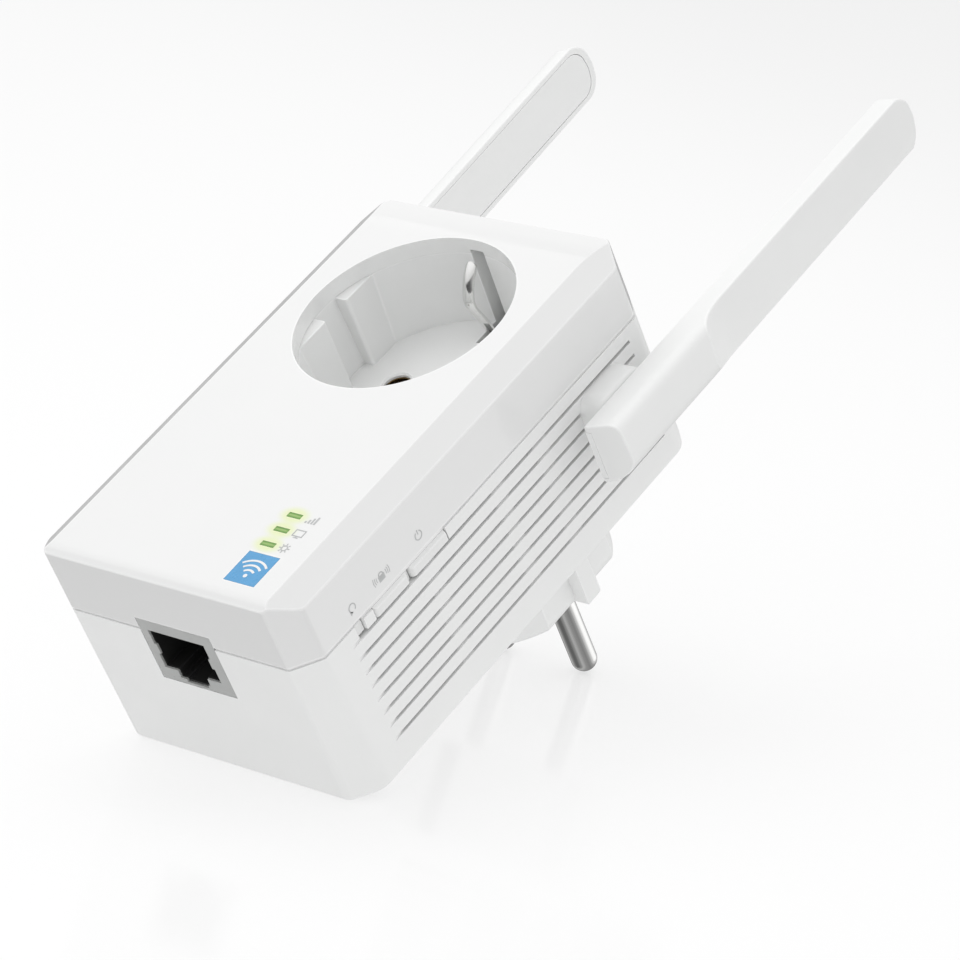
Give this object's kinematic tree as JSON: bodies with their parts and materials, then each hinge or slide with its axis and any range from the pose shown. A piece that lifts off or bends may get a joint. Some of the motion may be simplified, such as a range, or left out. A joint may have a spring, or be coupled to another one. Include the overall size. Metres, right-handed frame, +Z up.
{
  "type": "wifi range extender",
  "caption": "White plug-in wifi range extender with a pass-through socket well, network jack, louvred sides and two flat antennas that turn on side hubs",
  "frame": {"origin": "centre of the plug's mating face, on the plug's axis", "axes": "+Y into the wall, the way the pins point; +Z up along the antennas; +X the side with the keys; the front with the socket faces -Y"},
  "size_m": [0.0864, 0.0805, 0.1629],
  "materials": {
    "shell_plastic": "glossy white ABS",
    "housing_plastic": "fine satin white ABS",
    "well_plastic": "satin white heat-resistant plastic",
    "plug_plastic": "satin white heat-resistant plastic",
    "key_plastic": "satin white",
    "nickel": "polished nickel plate",
    "steel_sheet": "satin tinned steel sheet",
    "brass_part": "bare pressed brass",
    "gold_wire": "gold-flashed spring wire",
    "black_plastic": "moulded black plastic",
    "board_green": "solder-masked glass epoxy",
    "core_ferrite": "bare ferrite",
    "coil_tape": "yellow polyester tape",
    "led_lens": "clear light pipe glowing green",
    "label_blue": "plain blue printed film",
    "lead_white": "flexible insulation",
    "lead_dark": "flexible insulation",
    "cap_sleeve": "shrunk sleeve"
  },
  "bodies": {
    "body": {"front_cover": "shell_plastic", "rear_housing": "housing_plastic", "socket_insert": "well_plastic", "plug_base": "plug_plastic", "plug_pin_right": "nickel", "plug_pin_left": "nickel", "earth_bracket": "nickel", "plug_earth_upper": "nickel", "plug_earth_lower": "nickel", "jack_shield": "steel_sheet", "shield_can": "steel_sheet", "case_screws": "steel_sheet", "board_screws": "steel_sheet", "contact_right": "brass_part", "contact_left": "brass_part", "bus_bar_right": "brass_part", "bus_bar_left": "brass_part", "earth_link": "brass_part", "jack_contacts": "gold_wire", "coax_sockets": "gold_wire", "jack_insert": "black_plastic", "board_chips": "black_plastic", "tact_switches": "black_plastic", "fuse": "black_plastic", "main_board": "board_green", "power_board": "board_green", "transformer_core": "core_ferrite", "transformer_coil": "coil_tape", "film_capacitor": "coil_tape", "light_pipes": "led_lens", "led_chips": "led_lens", "label_plate": "label_blue", "supply_leads": "lead_white", "dc_leads": "lead_white", "coax_right": "lead_dark", "coax_left": "lead_dark", "capacitors": "cap_sleeve"},
    "right_antenna": {"antenna_shell_right": "housing_plastic", "antenna_cover_right": "housing_plastic", "antenna_hub_right": "housing_plastic", "hub_clip_right": "steel_sheet", "radiator_right": "brass_part", "arm_lead_right": "lead_dark"},
    "left_antenna": {"antenna_shell_left": "housing_plastic", "antenna_cover_left": "housing_plastic", "antenna_hub_left": "housing_plastic", "hub_clip_left": "steel_sheet", "radiator_left": "brass_part", "arm_lead_left": "lead_dark"},
    "reset_button": {"reset_key": "key_plastic", "reset_plunger": "black_plastic"},
    "pair_button": {"pair_key": "key_plastic", "pair_plunger": "black_plastic"},
    "power_button": {"power_key": "key_plastic", "power_plunger": "black_plastic"}
  },
  "joints": [
    {"name": "right_antenna_turn", "type": "hinge", "parent": "body", "child": "right_antenna", "pos_m": [0.0385, -0.0387, 0.00995], "axis": [1, 0, 0], "range_deg": [0, 180]},
    {"name": "left_antenna_turn", "type": "hinge", "parent": "body", "child": "left_antenna", "pos_m": [-0.0385, -0.0387, 0.00995], "axis": [1, 0, 0], "range_deg": [-2.3, 177.7]},
    {"name": "reset_press", "type": "slide", "parent": "body", "child": "reset_button", "axis": [-1, 0, 0], "range_m": [0, 0.0005], "stiffness_N_per_m": 1500, "springref_m": -0.0002},
    {"name": "pair_press", "type": "slide", "parent": "body", "child": "pair_button", "axis": [-1, 0, 0], "range_m": [0, 0.0005], "stiffness_N_per_m": 1500, "springref_m": -0.0002},
    {"name": "power_press", "type": "slide", "parent": "body", "child": "power_button", "axis": [-1, 0, 0], "range_m": [0, 0.0005], "stiffness_N_per_m": 1500, "springref_m": -0.0002}
  ]
}
